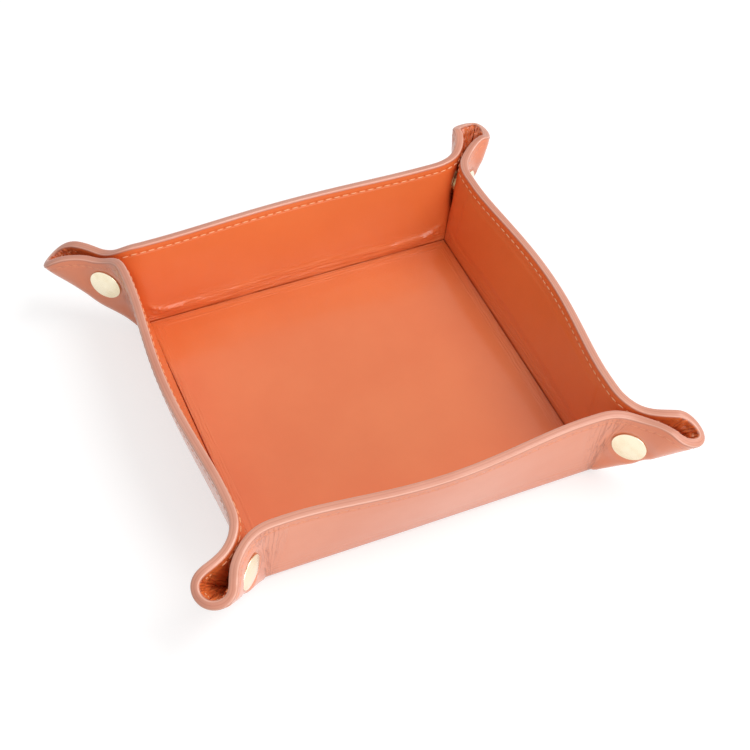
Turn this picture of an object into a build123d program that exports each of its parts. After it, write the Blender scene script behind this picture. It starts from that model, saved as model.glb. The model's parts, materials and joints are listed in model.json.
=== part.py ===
from build123d import *
import math
import os

# A square leather valet tray. One sheet of outer leather and one of lining leather are
# glued back to back round stiff boards, and each corner is pinched outwards into an ear
# that a snap fastener holds shut. Undone, the four walls and their ears fold out flat.
#
# Millimetres and degrees. Z is up, the underside lies at z = 0 and the origin is under
# the centre of the base. The front wall faces -Y and the right wall faces +X.
# The glue line between the two leathers is the neutral surface that all folds turn on.

# Whole tray
base_side = 124.0  # between the inside creases
wall_height = 33.5  # rim above the floor
wall_lean = 12.0  # each wall leans out from upright, degrees
outer_leather = 1.8
lining_leather = 1.8
edge_round = 0.9  # rounding of the painted rim

# Stiffener boards, each in a pocket shared by the two leathers
board = 1.0
base_board = 1.6
board_crease_margin = 3.0
board_rim_margin = 6.0  # leaves room for the row of stitches
board_end_margin = 1.0

# Clearances
crease_gap = 0.2
seam_gap = 0.05
ear_seat_gap = 0.2
corner_gap = 0.15  # half the slit where the two halves of an ear meet
cut_overrun = 1.0

# Ear, in plan from the corner of the creases: along the diagonal, and out to one side
fold_rise = 40.5  # slope of the ear's outer fold above level, degrees
ear_round = 14.0  # rim rounding at the ear's tip, seen from the side
ear_round_start = 26.0  # where that rounding leaves the level rim, along the diagonal
foot_setback = 3.5  # where the wall's flat ends, short of the corner
rim_setback = 5.2
foot_pinch = 2.14  # half width where the ear is narrowest
rim_pinch = 3.2
foot_flat_end = 0.4  # the narrow stretch ends here, along the diagonal
rim_flat_end = 24.0
foot_bulge = 2.3  # half width of the loop at the ear's end
rim_bulge = 5.2
foot_bulge_length = 3.3
rim_bulge_length = 5.2
foot_tip = 4.4  # the fold at the foot, along the diagonal
loop_split = 38.0  # the loop is split this far round from its fold, degrees

# Snap fastener, one pair per ear, on an axis square to the diagonal
snap_height = 18.5  # above the floor
snap_fold_distance = 7.6  # from the snap's axis to the fold of the ear under it
cap_diameter = 12.5
cap_edge = 0.5
cap_dome = 0.6
cap_rim_round = 0.2
pressed_share = 0.7  # the leather is squeezed to this share of its thickness under a snap
seat_margin = 0.4
post_radius = 1.5
post_clearance = 0.1
post_head_radius = 1.95
post_head = 0.3
socket_diameter = 9.8
socket_height = 2.0
socket_floor = 0.5
socket_mouth_radius = 2.35
socket_chamfer = 0.6
groove_radius = 2.85
groove_height = 0.75
groove_floor = 0.35
stud_flange_diameter = 8.6
stud_flange = 0.6
stud_height = 1.15
stud_neck_radius = 1.9
stud_bulge_radius = 2.05
stud_neck = 0.35
spring_wire = 0.5
spring_radius = 2.5
spring_opening = 60.0  # degrees

# Derived sizes
lean = math.radians(wall_lean)
fold = math.radians(fold_rise)
sheet = outer_leather + lining_leather
floor_z = sheet
crease_z = outer_leather
crease_half = base_side / 2 + lining_leather * (1 - math.sin(lean)) / math.cos(lean)
rim_z = floor_z + wall_height
rim_slant = (rim_z - crease_z) / math.cos(lean)
ear_foot_z = floor_z + ear_seat_gap
ear_top_z = rim_z + cut_overrun
nub_radius = foot_setback - crease_gap
nub_reach = math.hypot(nub_radius, lining_leather)
snap_rise = floor_z + snap_height - crease_z
snap_along = (snap_rise * math.cos(fold) - snap_fold_distance) / math.sin(fold)
diagonal = math.sqrt(2)
half_turn = math.radians(45)

sides = ["right", "back", "left", "front"]
corners = ["back_right", "back_left", "front_left", "front_right"]
model = {}


def between(foot_value, rim_value, z):
    """A size of the ear at height z, straight from the foot section to the top one."""
    share = (z - ear_foot_z) / (ear_top_z - ear_foot_z)
    return foot_value + (rim_value - foot_value) * share


def top_tip():
    """Where the outer fold meets the top section, along the diagonal."""
    return (ear_top_z - crease_z) / math.tan(fold)


# Base: outer leather, board and lining, with a rounded nub under each ear
def base_slab(low, high):
    slab = Pos(0, 0, (low + high) / 2) * Box(2 * crease_half, 2 * crease_half, high - low)
    for x in (-crease_half, crease_half):
        for y in (-crease_half, crease_half):
            slab += Pos(x, y, (low + high) / 2) * Cylinder(nub_radius, high - low)
    return slab


def side_turns():
    return [Rot(0, 0, 90 * number) for number in range(4)]


def base_edge_length():
    return 2 * (crease_half - nub_radius)


def outer_socket():
    """Hollow in the base's edge, in which the rounded foot of a wall turns."""
    bore = Cylinder(outer_leather + crease_gap, base_edge_length(), rotation=(90, 0, 0))
    return Pos(crease_half, 0, crease_z) * bore


def lining_relief():
    """The lining stops at the wall's inner face, which leaves a groove when it is flat."""
    back_off = (lining_leather + crease_gap) / math.cos(lean)
    spread = lining_leather * math.tan(lean)
    outline = Polyline(
        (crease_half - back_off, crease_z),
        (crease_half - back_off + spread, floor_z),
        (crease_half + cut_overrun, floor_z),
        (crease_half + cut_overrun, crease_z),
        close=True,
    )
    face = make_face(Plane.XZ * outline)
    return extrude(face, amount=base_edge_length() / 2, both=True)


def make_base():
    plate = 2 * (crease_half - foot_setback - board_crease_margin)
    core = Pos(0, 0, crease_z) * Box(plate, plate, base_board)
    outer = base_slab(0, crease_z) - core
    lining = base_slab(crease_z, floor_z) - core
    for turn in side_turns():
        outer -= turn * outer_socket()
        lining -= turn * lining_relief()
    model["base_outer"] = outer
    model["base_board"] = core
    model["base_lining"] = lining


# Walls: the right wall is built and turned to the other three sides
normal = (math.cos(lean), 0, -math.sin(lean))
wall_profile_plane = Plane(origin=(crease_half, 0, crease_z), x_dir=normal, z_dir=(0, -1, 0))
wall_face_plane = Plane(origin=(crease_half, 0, crease_z), x_dir=(0, 1, 0), z_dir=normal)


def wall_section(thickness, side):
    """One leather of a wall, cut across: a rounded foot on the crease, a level rim."""
    reach = side * thickness
    rim_at_face = rim_slant + reach * math.tan(lean)
    foot = CenterArc((0, 0), thickness, -90 if side > 0 else 180, 90)
    glue = Line((0, -thickness), (0, rim_slant))
    rim = Line((0, rim_slant), (reach, rim_at_face))
    face_line = Line((reach, rim_at_face), (reach, 0))
    section = make_face([foot, glue, rim, face_line])
    corner = section.vertices().sort_by_distance((reach, rim_at_face, 0))[0]
    return wall_profile_plane * fillet(corner, edge_round)


def wall_outline():
    """The wall seen from outside, a little narrower at the rim than at its foot."""
    foot_y = crease_half - foot_setback - seam_gap
    rim_y = crease_half - rim_setback - seam_gap
    outline = Polyline(
        (-foot_y, -cut_overrun),
        (foot_y, -cut_overrun),
        (foot_y, ear_foot_z),
        (rim_y, ear_top_z),
        (-rim_y, ear_top_z),
        (-foot_y, ear_foot_z),
        close=True,
    )
    face = make_face(Plane.YZ * outline)
    return extrude(face, amount=2 * crease_half)


def wall_board():
    rim_line = rim_slant - board_rim_margin
    rim_setback_there = between(foot_setback, rim_setback, crease_z + rim_line * math.cos(lean))
    foot_x = crease_half - foot_setback - board_end_margin
    rim_x = crease_half - rim_setback_there - board_end_margin
    outline = Polyline(
        (-foot_x, board_crease_margin),
        (foot_x, board_crease_margin),
        (rim_x, rim_line),
        (-rim_x, rim_line),
        close=True,
    )
    return extrude(make_face(wall_face_plane * outline), amount=board / 2, both=True)


def make_walls():
    outline = wall_outline()
    core = wall_board()
    leathers = {}
    for name, thickness, side in (("outer", outer_leather, 1), ("lining", lining_leather, -1)):
        strip = extrude(wall_section(thickness, side), amount=crease_half, both=True)
        leathers[name] = (strip & outline) - core
    for number, side_name in enumerate(sides):
        turn = Rot(0, 0, 90 * number)
        model[f"{side_name}_wall_outer"] = turn * leathers["outer"]
        model[f"{side_name}_wall_board"] = turn * core
        model[f"{side_name}_wall_lining"] = turn * leathers["lining"]


# Ears: half an ear is built in its own frame, x out along the diagonal and y to one side
def ear_curves(z, offset):
    """The ear's half plan at height z, moved out by an offset from the neutral surface."""
    wall_x = (z - crease_z) * math.tan(lean)
    setback = between(foot_setback, rim_setback, z)
    pinch = between(foot_pinch, rim_pinch, z)
    bulge = between(foot_bulge, rim_bulge, z)
    bulge_length = between(foot_bulge_length, rim_bulge_length, z)
    flat_end = between(foot_flat_end, rim_flat_end, z)
    loop_x = between(foot_tip, top_tip(), z) - bulge_length
    start_x = (wall_x - setback) / diagonal
    start_y = (wall_x + setback) / diagonal
    root_radius = (start_y - pinch) / (1 - math.cos(half_turn))
    root_x = start_x + root_radius * math.sin(half_turn)
    root_centre = (root_x, pinch + root_radius, z)
    pinch_y = pinch + offset
    bulge_y = bulge + offset
    along_fold = bulge_length + offset * math.cos(lean) / math.sin(fold)
    ease = (loop_x - flat_end) / 2
    root = CenterArc(root_centre, root_radius - offset, -135, 45)
    narrow = Line((root_x, pinch_y, z), (flat_end, pinch_y, z))
    swell = Bezier(
        (flat_end, pinch_y, z),
        (flat_end + ease, pinch_y, z),
        (loop_x - ease, bulge_y, z),
        (loop_x, bulge_y, z),
    )
    loop_plane = Plane(origin=(loop_x, 0, z))
    loop = EllipticalCenterArc((0, 0), along_fold, bulge_y, 0, arc_size=loop_split)
    rest = 90 - loop_split
    shoulder = EllipticalCenterArc((0, 0), along_fold, bulge_y, loop_split, arc_size=rest)
    return [root, narrow, swell, loop_plane * shoulder], [loop_plane * loop]


def closed_face(inner, outer):
    """The face between two open chains of curves, with straight ends."""
    inner_wire = Wire(inner)
    outer_wire = Wire(outer)
    ends = [Line(inner_wire @ place, outer_wire @ place) for place in (0, 1)]
    return make_face([*inner, *outer, *ends])


def ear_layer(low_offset, high_offset, piece):
    """One leather of half an ear: piece 0 runs from the wall to the loop, 1 is the tip."""
    faces = []
    for z in (ear_foot_z, ear_top_z):
        inner = ear_curves(z, low_offset)[piece]
        outer = ear_curves(z, high_offset)[piece]
        faces.append(closed_face(inner, outer))
    return loft(faces, ruled=True)


def above_rim():
    """All that the ear's rim is cut clear of: level from the wall, then round the tip."""
    far = 2 * top_tip()
    turn = math.radians(90) - fold
    arc_end_x = ear_round_start + ear_round * math.sin(turn)
    arc_end_z = rim_z - ear_round * (1 - math.cos(turn))
    reach = far - arc_end_x
    level = Line((-far, rim_z), (ear_round_start, rim_z))
    rounding = CenterArc((ear_round_start, rim_z - ear_round), ear_round, fold_rise, 90 - fold_rise)
    drop = Polyline(
        (arc_end_x, arc_end_z),
        (arc_end_x + reach * math.cos(turn), arc_end_z - reach * math.sin(turn)),
        (far, 2 * rim_z),
        (-far, 2 * rim_z),
        (-far, rim_z),
    )
    face = make_face(Plane.XZ * Curve([level, rounding, drop]))
    return extrude(face, amount=far, both=True)


def snap_plane(side):
    return Plane(origin=(snap_along, 0, floor_z + snap_height), z_dir=(0, side, 0))


def snap_levels():
    """Distances from the diagonal to the lining's seat, the glue line and the cap's seat."""
    glue = between(foot_pinch, rim_pinch, floor_z + snap_height)
    lining_seat = glue - pressed_share * lining_leather
    cap_seat = glue + pressed_share * outer_leather
    return lining_seat, glue, cap_seat


def disc(radius, low, high):
    """A round slab on the snap's axis."""
    lift = Pos(0, 0, (low + high) / 2)
    return snap_plane(1).location * lift * Cylinder(radius, high - low)


def pressed(leather, radius, low, high):
    """Squeeze the leather flat under a snap's rim and pierce it for the post."""
    leather -= disc(radius, 0, 2 * (rim_bulge + outer_leather))
    leather += disc(radius, low, high)
    return leather - disc(post_radius + post_clearance, 0, 2 * high)


def nub_clearance():
    """A ball round the corner of the creases. Hollowed by it, a tip clears the base's nub."""
    return Pos(0, 0, crease_z) * Sphere(nub_reach + crease_gap)


def make_ears():
    outer_offset = outer_leather / math.cos(lean)
    lining_offset = -lining_leather / math.cos(lean)
    lining_seat, glue, cap_seat = snap_levels()
    trim = above_rim()
    slit = Box(4 * top_tip(), 2 * corner_gap, 4 * rim_z)
    cap_seat_radius = cap_diameter / 2 + seat_margin
    socket_seat_radius = socket_diameter / 2 + seat_margin
    outer = ear_layer(0, outer_offset, 0) - trim
    lining = ear_layer(lining_offset, 0, 0) - trim - disc(cap_seat_radius, glue, cap_seat)
    halves = {
        "outer": pressed(outer, cap_seat_radius, glue, cap_seat),
        "lining": pressed(lining, socket_seat_radius, lining_seat, glue),
    }
    tip = ear_layer(0, outer_offset, 1) + ear_layer(lining_offset, 0, 1)
    tip = tip - trim - slit - nub_clearance()
    for number in range(len(corners)):
        spot = corner_location(number)
        for side in (1, -1):
            wall, end = half_ear_names(number, side)
            for layer, half in halves.items():
                shape = half if side > 0 else mirror(half, about=Plane.XZ)
                model[f"{wall}_wall_{end}_ear_{layer}"] = spot * shape
            shape = tip if side > 0 else mirror(tip, about=Plane.XZ)
            model[f"{wall}_wall_{end}_ear_tip"] = spot * shape


def corner_location(number):
    """Corner of the creases, with x turned out along the diagonal."""
    angle = 45 + 90 * number
    reach = crease_half * diagonal
    x = reach * math.cos(math.radians(angle))
    y = reach * math.sin(math.radians(angle))
    return Pos(x, y, 0) * Rot(0, 0, angle)


def half_ear_names(number, side):
    """The wall that half an ear belongs to, and the end of that wall it grows from."""
    near = sides[number]
    far = sides[(number + 1) % 4]
    return (far, near) if side > 0 else (near, far)


# Snap fasteners: a socket with its spring on one half of the ear and a stud on the other,
# each riveted by the post of a domed cap on the outside
def turned(outline):
    """A solid of revolution on the snap's axis, from points of radius and height."""
    return revolve(make_face(Plane.XZ * Polyline(*outline, close=True)), Axis.Z, 360)


def snap_cap(post_tip, head_radius):
    """Domed cap with its post: it sits on the outer leather and reaches to post_tip."""
    cap_seat = snap_levels()[2]
    radius = cap_diameter / 2
    edge_top = cap_seat + cap_edge
    crown = edge_top + cap_dome
    dome_radius = (radius**2 + cap_dome**2) / (2 * cap_dome)
    spread = math.degrees(math.asin(radius / dome_radius))
    dome = CenterArc((0, crown - dome_radius), dome_radius, 90 - spread, spread)
    rest = Polyline(
        (0, crown),
        (0, post_tip),
        (head_radius, post_tip),
        (head_radius, post_tip + post_head),
        (post_radius, post_tip + post_head),
        (post_radius, cap_seat),
        (radius, cap_seat),
        (radius, edge_top),
    )
    section = make_face(Plane.XZ * Curve([dome, rest]))
    rims = section.vertices().filter_by(lambda vertex: vertex.X > post_head_radius)
    return revolve(fillet(rims, cap_rim_round), Axis.Z, 360)


def snap_socket():
    seat = snap_levels()[0]
    mouth = seat - socket_height
    inside = seat - socket_floor
    groove_top = mouth + groove_floor + groove_height
    outer_radius = socket_diameter / 2
    bore = post_radius + post_clearance
    return turned([
        (bore, seat),
        (outer_radius, seat),
        (outer_radius, mouth + socket_chamfer),
        (outer_radius - socket_chamfer, mouth),
        (socket_mouth_radius, mouth),
        (socket_mouth_radius, mouth + groove_floor),
        (groove_radius, mouth + groove_floor),
        (groove_radius, groove_top),
        (socket_mouth_radius, inside),
        (bore, inside),
    ])


def snap_spring():
    """Open ring of wire in the socket's groove, which grips the stud."""
    height = snap_levels()[0] - socket_height + groove_floor + groove_height / 2
    wire = Pos(spring_radius, 0, height) * Rot(90, 0, 0) * Circle(spring_wire / 2)
    return Rot(0, 0, spring_opening / 2) * revolve(wire, Axis.Z, 360 - spring_opening)


def snap_stud():
    """Hollow stud on its flange: it stands on its own lining and points to the socket."""
    seat = snap_levels()[0]
    flange_face = seat - stud_flange
    top = flange_face - stud_height
    neck_end = flange_face - stud_neck
    bulge_end = top + stud_neck / 2
    bore = post_radius + post_clearance
    return turned([
        (bore, seat),
        (stud_flange_diameter / 2, seat),
        (stud_flange_diameter / 2, flange_face),
        (stud_neck_radius, flange_face),
        (stud_neck_radius, neck_end),
        (stud_bulge_radius, (neck_end + bulge_end) / 2),
        (stud_bulge_radius, bulge_end),
        (stud_neck_radius, top),
        (bore, top),
    ])


def make_snaps():
    seat = snap_levels()[0]
    socket_post_tip = seat - socket_floor - post_head
    stud_post_tip = seat - stud_flange - stud_neck
    stud_post_radius = post_radius - seam_gap
    pieces = {
        "socket_cap": (1, snap_cap(socket_post_tip, post_head_radius)),
        "socket": (1, snap_socket()),
        "spring": (1, snap_spring()),
        "stud": (-1, snap_stud()),
        "stud_cap": (-1, snap_cap(stud_post_tip, stud_post_radius)),
    }
    for number, corner in enumerate(corners):
        for name, (side, shape) in pieces.items():
            place = corner_location(number) * snap_plane(side).location
            model[f"{corner}_snap_{name}"] = place * shape


make_base()
make_walls()
make_ears()
make_snaps()

os.makedirs("parts", exist_ok=True)
for name, shape in model.items():
    export_step(shape, f"parts/{name}.step")
print(len(model), "nodes written")
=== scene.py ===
# %% [markdown]
# # A snap-corner leather valet tray
# The real tray is one square of outer leather and one of lining, glued back to back round
# stiff boards. Its corners are pinched into ears, and a snap holds each ear shut. The packed
# solids are the fixed frame, so the first step is to load them.

# %% Load the frame
import json
import math

import bpy
import numpy as np
from mathutils import Matrix, Vector


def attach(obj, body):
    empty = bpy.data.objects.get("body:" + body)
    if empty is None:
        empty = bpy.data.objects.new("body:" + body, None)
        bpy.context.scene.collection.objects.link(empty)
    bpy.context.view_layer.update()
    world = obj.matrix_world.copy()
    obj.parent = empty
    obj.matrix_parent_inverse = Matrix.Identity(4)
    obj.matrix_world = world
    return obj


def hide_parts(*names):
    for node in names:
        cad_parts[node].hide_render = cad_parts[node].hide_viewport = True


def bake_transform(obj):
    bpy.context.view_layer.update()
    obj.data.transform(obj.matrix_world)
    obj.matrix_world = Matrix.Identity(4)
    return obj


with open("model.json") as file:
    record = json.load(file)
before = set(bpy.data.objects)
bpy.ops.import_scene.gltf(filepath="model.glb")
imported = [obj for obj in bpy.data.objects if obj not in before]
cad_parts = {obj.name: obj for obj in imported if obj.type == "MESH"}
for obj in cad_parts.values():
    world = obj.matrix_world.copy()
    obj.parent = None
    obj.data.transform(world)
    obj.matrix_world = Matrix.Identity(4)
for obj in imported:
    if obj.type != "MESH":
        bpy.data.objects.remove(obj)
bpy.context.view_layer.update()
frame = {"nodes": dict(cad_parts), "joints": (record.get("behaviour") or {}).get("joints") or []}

# %% [markdown]
# ## Camera
# The view is the photograph's: from the front left and well above, with a long lens. A
# camera looks along its own -Z, so its right, up and back directions are worked out from
# the three angles and make up its rotation.

# %% Camera at the photograph's angle
mm = 0.001
camera_place = Vector((-156.0, -371.6, 455.4)) * mm
camera_azimuth = math.radians(-23.53)
camera_height = math.radians(47.78)
camera_roll = math.radians(1.03)
camera_lens = 78.67

level = math.cos(camera_height)
back = Vector((
    math.sin(camera_azimuth) * level,
    -math.cos(camera_azimuth) * level,
    math.sin(camera_height),
))
right = Vector((0, 0, 1)).cross(back).normalized()
up = back.cross(right)
tilt = Matrix.Rotation(camera_roll, 3, back)
right, up = tilt @ right, tilt @ up
camera = bpy.data.objects.new("camera", bpy.data.cameras.new("camera"))
camera.data.lens = camera_lens
camera.data.sensor_width = 36
camera.matrix_world = Matrix.Translation(camera_place) @ Matrix((right, up, back)).transposed().to_4x4()
bpy.context.scene.collection.objects.link(camera)
bpy.context.scene.camera = camera
print("camera", [round(value, 3) for value in camera_place], "m")

# %% [markdown]
# ## Sizes of the tray
# These are the sizes of the real tray, in metres. The glue line between the two leathers
# is the surface that keeps its length when they fold, so every shape starts from it.

# %% Sizes
leather = 1.8 * mm
glue_z = leather
floor_z = 2 * leather
base_half = 62 * mm
solid_lean = math.radians(12)
crease_half = base_half + leather * (1 - math.sin(solid_lean)) / math.cos(solid_lean)
wall_slant = 36.09 * mm
foot_z = 3.8 * mm
top_z = 38.1 * mm
edge_paint = 0.8 * mm
same_point = 0.002 * mm

end_lean = 10.0
middle_leans = {"right": 18.0, "back": 13.8, "left": 15.4, "front": 16.4}
wall_bows = {"right": 0.3 * mm, "back": 0.2 * mm, "left": 1.0 * mm, "front": 0.4 * mm}
sides = ["right", "back", "left", "front"]
corners = ["back_right", "back_left", "front_left", "front_right"]
print("creases lie", round(crease_half / mm, 2), "mm from the middle")

# %% [markdown]
# ## The ear's plan
# From above, half an ear leaves the wall in a hollow curve, runs narrow where the snap
# pulls the two halves together, swells again and closes in a round loop. A B-spline gives
# that line without flats or kinks. One plan is drawn just above the floor and one at the
# rim, with the same number of knots, and the leather is straight between them.
# Each knot is the distance out along the diagonal and the distance to its side, in mm.

# %% Two plans of an ear
foot_plan = [
    (-1.5, 2.1), (-0.9, 1.6), (-0.4, 1.4), (0.1, 1.35),
    (0.6, 1.35), (1.1, 1.2), (1.6, 0.8), (1.9, 0),
]
rim_plan = [
    (4.2, 5.0), (9.6, 2.6), (15.5, 2.1), (22.0, 2.9),
    (29.0, 5.3), (36.0, 6.6), (41.2, 5.0), (43.4, 0),
]
foot_approach = (8.5, 6.4, 4.3)
rim_approach = (14.1, 10.1, 6.1)
last_place = 10
columns_per_knot = 9


def whole_plan(approach, plan, height):
    """The knots from the wall's flat, round the ear, to one knot past its fold."""
    out = math.tan(math.radians(end_lean)) * (height - glue_z) / mm
    on_wall = [((out - short) / math.sqrt(2), (out + short) / math.sqrt(2)) for short in approach]
    past = (plan[-2][0], -plan[-2][1])
    return np.array(on_wall + plan + [past]) * mm


def spline(knots, place):
    """Points of a uniform cubic B-spline, place 1 being opposite the second knot."""
    first = np.clip(np.floor(place).astype(int), 1, len(knots) - 3)
    t = (place - first)[:, None]
    weights = ((1 - t) ** 3, 3 * t**3 - 6 * t**2 + 4, -3 * t**3 + 3 * t**2 + 3 * t + 1, t**3)
    return sum(w * knots[first + shift] for w, shift in zip(weights, (-1, 0, 1, 2))) / 6


def ease(value):
    """0 below 0, 1 above 1 and a soft step between."""
    value = np.clip(value, 0, 1)
    return value * value * (3 - 2 * value)


ear_places = np.linspace(1, last_place, (last_place - 1) * columns_per_knot + 1)
ear_foot = spline(whole_plan(foot_approach, foot_plan, foot_z), ear_places)
ear_top = spline(whole_plan(rim_approach, rim_plan, top_z), ear_places)
print("an ear has", len(ear_places), "columns and reaches", round(ear_top[-1, 0] / mm, 1), "mm")

# %% [markdown]
# ## One side of the tray as a net of points
# A side is the wall and its two half ears. The net's columns run from fold to fold and its
# rows from the floor to the rim. The rim is level along the wall, dips a little at the pinch
# and is cut round at the ear's tip. Each ear has its own habits, as in the photograph: how
# far it droops, swings aside, reaches, opens, drops and rounds off at its end.

# %% From the corner's own directions to the side's
wall_columns = 100
rim_dip = 1.2 * mm
rim_dip_place = 14 * mm
rim_dip_width = 7 * mm
rim_level = glue_z + wall_slant * math.cos(math.radians(end_lean))
round_start = 26 * mm
round_radius = 14 * mm
ear_habits = {
    "back_right": dict(droop=-3.0, swing=-3.0, stretch=1.0, round=1.09, drop=-0.5, arch=4.0),
    "back_left": dict(droop=4.0, swing=-7.5, stretch=0.965, round=0.86, drop=3.8, arch=0.4),
    "front_left": dict(droop=0.0, swing=1.0, stretch=0.94, round=1.09, drop=0.2, arch=1.5),
    "front_right": dict(droop=-0.5, swing=-1.0, stretch=0.98, round=0.88, drop=0.1, arch=3.4),
}
fold_slope = math.radians(41)
fan = math.radians(30)
halfway = 0.5
habit_start = 15 * mm
habit_length = 18 * mm
ear_reach = 46 * mm
loop_half = 6 * mm
sink_start = 3 * mm
sink_length = 14 * mm
snap_along = 12.066 * mm
snap_z = floor_z + 18.5 * mm
snap_glue = 2.7 * mm
snap_reach = 9.4 * mm
snap_sharpness = 6
snap_last_place = 7.8
snap_fade = 2


def from_corner(along, aside, z, end):
    """Points given from the corner of the creases, end 1 or -1, in the side's directions."""
    x = crease_half + (along + aside) / math.sqrt(2)
    y = end * (crease_half + (along - aside) / math.sqrt(2))
    return np.stack([x, y, z], axis=-1)


def to_corner(points, end):
    """Distances along the diagonal and to its side, for points in the side's directions."""
    x = points[..., 0] - crease_half
    y = end * points[..., 1] - crease_half
    return (x + y) / math.sqrt(2), (x - y) / math.sqrt(2)


def rim_height(along):
    """The rim's height over an ear, by the distance out along the diagonal."""
    dip = rim_dip * np.exp(-(((along - rim_dip_place) / rim_dip_width) ** 2))
    past = np.clip((along - round_start) / round_radius, 0, 0.999)
    return rim_level - dip - round_radius * (1 - np.sqrt(1 - past * past))


def rim_share(foot, top):
    """How far up its straight line each column of an ear meets the rim."""
    low, high = np.zeros(len(foot)), np.ones(len(foot))
    for _ in range(40):
        share = (low + high) / 2
        height = foot_z + share * (top_z - foot_z)
        under = height < rim_height(foot[:, 0] + share * (top - foot)[:, 0])
        low, high = np.where(under, share, low), np.where(under, high, share)
    return low


ear_rim = rim_share(ear_foot, ear_top)
print("an ear's fold ends", round(ear_rim[-1] * (top_z - foot_z) / mm, 1), "mm above its foot")

# %% [markdown]
# The net is worked out on the glue line. Its normals then place the two faces of each
# leather. Under a snap the leather is squeezed thinner, which leaves the shallow seat that
# the cap sits in.

# %% The net of one side
rise_rows = 40
turn_rows = 6
ring_inset = 6 * mm
turn_inset = 2.6 * mm
turn_places = np.linspace(0, 1, turn_rows)


def side_lines(side):
    """Foot, top and rim share of every column of a side, and each column's end and place."""
    across = np.linspace(-1, 1, wall_columns + 1)[1:-1]
    lean = np.radians(end_lean + (middle_leans[side] - end_lean) * (1 - across**2) ** 2)
    reach = [crease_half + (line[0, 0] - line[0, 1]) / math.sqrt(2) for line in (ear_foot, ear_top)]
    wall = []
    for z, half in zip((foot_z, top_z), reach):
        wall.append(np.stack([crease_half + (z - glue_z) * np.tan(lean), across * half, 0 * across + z], -1))
    share = (wall_slant * np.cos(lean) - (foot_z - glue_z)) / (top_z - foot_z)
    feet, tops = [], []
    for end in (-1, 1):
        feet.append(from_corner(ear_foot[:, 0], ear_foot[:, 1], 0 * ear_places + foot_z, end))
        tops.append(from_corner(ear_top[:, 0], ear_top[:, 1], 0 * ear_places + top_z, end))
    foot = np.concatenate([feet[0][::-1], wall[0], feet[1]])
    top = np.concatenate([tops[0][::-1], wall[1], tops[1]])
    shares = np.concatenate([ear_rim[::-1], share, ear_rim])
    end = np.concatenate([0 * ear_places - 1, 0 * across, 0 * ear_places + 1])
    place = np.concatenate([ear_places[::-1], 0 * across, ear_places])
    return foot, top, shares, end, place


def swung(along, corner):
    """How far to the side an ear's middle has swung, by the distance out."""
    past = np.maximum(along - habit_start, 0)
    return past * math.tan(math.radians(ear_habits[corner]["swing"])) * ease(past / habit_length)


def shape_ear(points, end, place, corner):
    """Pull the halves apart round the snap, then give the ear its own droop, swing and length."""
    habit = ear_habits[corner]
    along, aside = to_corner(points, end)
    rise = points[..., 2] - glue_z
    share = ease((along - habit_start) / habit_length)
    sunk = habit["drop"] * mm * ease((along - sink_start) / sink_length)
    aside = aside * (1 + share * (habit["round"] - 1))
    along = along - share * habit["arch"] * mm * (aside / loop_half) ** 2
    aside = aside + end * swung(along, corner)
    reach, slope = np.hypot(along, rise), np.arctan2(rise, along)
    low = 1 - ease((slope - fold_slope) / fan)
    far = ease(reach / ear_reach)
    slope = slope - math.radians(habit["droop"]) * low * (halfway + (1 - halfway) * far)
    reach = reach * (1 + low * far * (habit["stretch"] - 1))
    along, z = reach * np.cos(slope), glue_z + reach * np.sin(slope) - sunk
    near = np.exp(-((np.hypot(along - snap_along, z - snap_z) / snap_reach) ** snap_sharpness))
    near = near * (1 - ease((place - snap_last_place) / snap_fade))
    aside = aside + near * (snap_glue - aside)
    return from_corner(along, aside, z, end)


def length(vectors):
    return np.linalg.norm(vectors, axis=-1)


def unit(vectors):
    return vectors / np.maximum(length(vectors)[..., None], 1e-12)


def square_to(heading, normal):
    """A normal with its part along a heading taken out."""
    return unit(normal - heading * np.sum(normal * heading, -1, keepdims=True))


def corner_of(side, end):
    """The corner at a side's end."""
    number = sides.index(side)
    return corners[number if end > 0 else number - 1]


def side_net(side):
    """Glue-line points of a side, their outward normals, and their distances on the sheet."""
    foot, top, shares, end, place = side_lines(side)
    short = edge_paint / length(top - foot)
    steps = np.linspace(0, 1, rise_rows)[:, None, None]
    rise = foot + steps * (shares - short)[None, :, None] * (top - foot)
    rim = (foot + shares[:, None] * (top - foot))[None]
    points = np.concatenate([rise, rim])
    up = (points[..., 2] - foot_z) / (points[-1:, :, 2] - foot_z)
    level = np.clip(1 - (points[..., 1] / crease_half) ** 2, 0, 1)
    points[..., 0] += wall_bows[side] * 4 * up * (1 - up) * level * (end == 0)
    for one in (-1, 1):
        chosen = end == one
        points[:, chosen] = shape_ear(points[:, chosen], one, place[chosen], corner_of(side, one))
    run = np.gradient(points, axis=1)
    for column, one in ((0, -1), (-1, 1)):
        run[:, column] = np.array([-1, one, 0]) * one
    climb = np.gradient(points, axis=0)
    normals = unit(np.cross(run, climb))
    steps = length(np.diff(points[-1], axis=0))
    return {
        "side": side, "points": points, "normals": normals, "end": end, "place": place, "run": unit(run),
        "above": length(points[:-1] - points[:1]), "below": length(points[-1] - points[:-1]),
        "along": np.concatenate([[0], np.cumsum(steps)]),
    }


nets = {side: side_net(side) for side in sides}
print("each side is a net of", nets["front"]["points"].shape[:2], "rows and columns")

# %% [markdown]
# ## From a flat sheet to a folded one
# Each piece of leather starts as a flat grid, as it is cut, and is laid on the net. The cells
# outside the piece are deleted in edit mode, and Solidify gives the rest its second face,
# which is then moved to the glue line. Points that fall together are merged.
# Attributes carried by the points tell the leather's material how far the rim and the
# crease are, so that stitch holes and wrinkles follow the sheet.

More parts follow.
